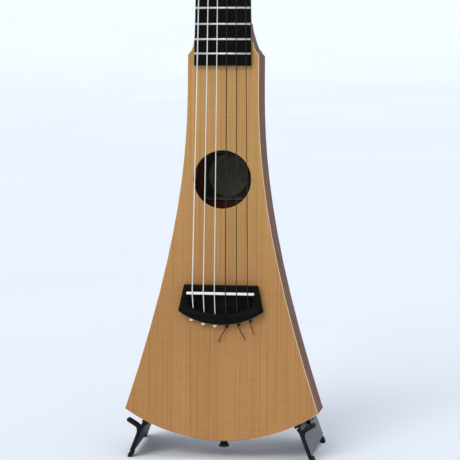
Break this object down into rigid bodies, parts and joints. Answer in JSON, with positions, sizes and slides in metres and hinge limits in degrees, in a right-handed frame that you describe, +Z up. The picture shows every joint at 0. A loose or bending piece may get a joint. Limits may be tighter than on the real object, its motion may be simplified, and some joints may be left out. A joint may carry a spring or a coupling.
{
  "type": "guitar on stand",
  "caption": "Narrow-bodied travel guitar with a tapering shoulderless body, leaning on a small folding A-frame stand whose legs turn on a hinge behind it.",
  "frame": {"origin": "centre of the box round the object, on the floor under the rubber feet", "axes": "+Z up, the guitar's soundboard faces -Y and leans back, +X is to the right of someone who looks at the soundboard"},
  "size_m": [0.211, 0.124, 0.8997],
  "materials": {
    "spruce_top": "satin varnish, fine straight grain",
    "mahogany": "satin varnish, open pores",
    "brace_wood": "bare",
    "black_wood": "dyed black, fine open grain",
    "black_plastic": "moulded",
    "bone": "polished off-white",
    "fret_wire": "polished nickel silver",
    "wound_string": "silver-plated winding",
    "nylon_string": "clear dark brown nylon",
    "tuner_metal": "nickel plate",
    "knob_plastic": "pearl-look plastic",
    "stand_plate": "satin grey with fine brushed streaks, black edges",
    "stand_bolt": "blackened",
    "rubber": "matte"
  },
  "bodies": {
    "hinge": {"hinge_pin": "stand_bolt", "hinge_nut": "stand_bolt"},
    "left_leg": {"left_leg": "stand_plate", "left_rest_pad": "rubber", "left_back_pad": "rubber", "left_front_foot": "rubber", "left_rear_foot": "rubber"},
    "right_leg": {"right_leg": "stand_plate", "right_rest_pad": "rubber", "right_back_pad": "rubber", "right_front_foot": "rubber", "right_rear_foot": "rubber"},
    "guitar": {"soundboard": "spruce_top", "sides": "mahogany", "back_plate": "mahogany", "neck_block": "mahogany", "end_block": "mahogany", "end_pin": "black_plastic", "upper_top_brace": "brace_wood", "lower_top_brace": "brace_wood", "neck": "mahogany", "fretboard": "black_wood", "nut": "bone", "bridge": "black_wood", "saddle": "bone", "left_tuner_plate": "tuner_metal", "right_tuner_plate": "tuner_metal", "fret_01": "fret_wire", "fret_02": "fret_wire", "fret_03": "fret_wire", "fret_04": "fret_wire", "fret_05": "fret_wire", "fret_06": "fret_wire", "fret_07": "fret_wire", "fret_08": "fret_wire", "fret_09": "fret_wire", "fret_10": "fret_wire", "fret_11": "fret_wire", "fret_12": "fret_wire", "fret_13": "fret_wire", "fret_14": "fret_wire", "fret_15": "fret_wire", "string_1": "wound_string", "string_2": "wound_string", "string_3": "wound_string", "string_4": "nylon_string", "string_5": "nylon_string", "string_6": "nylon_string"},
    "left_post_1": {"left_post_1": "tuner_metal"},
    "left_knob_1": {"left_tuning_knob_1": "knob_plastic"},
    "left_post_2": {"left_post_2": "tuner_metal"},
    "left_knob_2": {"left_tuning_knob_2": "knob_plastic"},
    "left_post_3": {"left_post_3": "tuner_metal"},
    "left_knob_3": {"left_tuning_knob_3": "knob_plastic"},
    "right_post_1": {"right_post_1": "tuner_metal"},
    "right_knob_1": {"right_tuning_knob_1": "knob_plastic"},
    "right_post_2": {"right_post_2": "tuner_metal"},
    "right_knob_2": {"right_tuning_knob_2": "knob_plastic"},
    "right_post_3": {"right_post_3": "tuner_metal"},
    "right_knob_3": {"right_tuning_knob_3": "knob_plastic"}
  },
  "joints": [
    {"name": "right_leg_fold", "type": "hinge", "parent": "hinge", "child": "right_leg", "pos_m": [0, 0.0268, 0.15193], "axis": [0, 0.9962, -0.0872], "range_deg": [0, 21]},
    {"name": "left_leg_fold", "type": "hinge", "parent": "hinge", "child": "left_leg", "pos_m": [0, 0.0268, 0.15193], "axis": [0, 0.9962, -0.0872], "range_deg": [-21, 0]},
    {"name": "guitar_lift", "type": "slide", "parent": "hinge", "child": "guitar", "axis": [0, 0.0872, 0.9962], "range_m": [0, 0.3]},
    {"name": "left_knob_1_turn", "type": "hinge", "parent": "guitar", "child": "left_knob_1", "pos_m": [-0.03, 0.03634, 0.82015], "axis": [-1, 0, 0], "continuous": true},
    {"name": "left_post_1_turn", "type": "hinge", "parent": "guitar", "child": "left_post_1", "pos_m": [-0.022, 0.02257, 0.81442], "axis": [0, -0.9563, 0.2924], "continuous": true},
    {"name": "left_knob_2_turn", "type": "hinge", "parent": "guitar", "child": "left_knob_2", "pos_m": [-0.03, 0.0457, 0.85075], "axis": [-1, 0, 0], "continuous": true},
    {"name": "left_post_2_turn", "type": "hinge", "parent": "guitar", "child": "left_post_2", "pos_m": [-0.0195, 0.03193, 0.84502], "axis": [0, -0.9563, 0.2924], "continuous": true},
    {"name": "left_knob_3_turn", "type": "hinge", "parent": "guitar", "child": "left_knob_3", "pos_m": [-0.03, 0.05506, 0.88135], "axis": [-1, 0, 0], "continuous": true},
    {"name": "left_post_3_turn", "type": "hinge", "parent": "guitar", "child": "left_post_3", "pos_m": [-0.017, 0.04128, 0.87563], "axis": [0, -0.9563, 0.2924], "continuous": true},
    {"name": "right_knob_1_turn", "type": "hinge", "parent": "guitar", "child": "right_knob_1", "pos_m": [0.03, 0.03634, 0.82015], "axis": [1, 0, 0], "continuous": true},
    {"name": "right_post_1_turn", "type": "hinge", "parent": "guitar", "child": "right_post_1", "pos_m": [0.022, 0.02257, 0.81442], "axis": [0, -0.9563, 0.2924], "continuous": true},
    {"name": "right_knob_2_turn", "type": "hinge", "parent": "guitar", "child": "right_knob_2", "pos_m": [0.03, 0.0457, 0.85075], "axis": [1, 0, 0], "continuous": true},
    {"name": "right_post_2_turn", "type": "hinge", "parent": "guitar", "child": "right_post_2", "pos_m": [0.0195, 0.03193, 0.84502], "axis": [0, -0.9563, 0.2924], "continuous": true},
    {"name": "right_knob_3_turn", "type": "hinge", "parent": "guitar", "child": "right_knob_3", "pos_m": [0.03, 0.05506, 0.88135], "axis": [1, 0, 0], "continuous": true},
    {"name": "right_post_3_turn", "type": "hinge", "parent": "guitar", "child": "right_post_3", "pos_m": [0.017, 0.04128, 0.87563], "axis": [0, -0.9563, 0.2924], "continuous": true}
  ],
  "couplings": [
    {"joint": "left_leg_fold", "follows": "right_leg_fold", "ratio": -1},
    {"joint": "left_post_1_turn", "follows": "left_knob_1_turn", "ratio": 0.071429},
    {"joint": "left_post_2_turn", "follows": "left_knob_2_turn", "ratio": 0.071429},
    {"joint": "left_post_3_turn", "follows": "left_knob_3_turn", "ratio": 0.071429},
    {"joint": "right_post_1_turn", "follows": "right_knob_1_turn", "ratio": -0.071429},
    {"joint": "right_post_2_turn", "follows": "right_knob_2_turn", "ratio": -0.071429},
    {"joint": "right_post_3_turn", "follows": "right_knob_3_turn", "ratio": -0.071429}
  ]
}
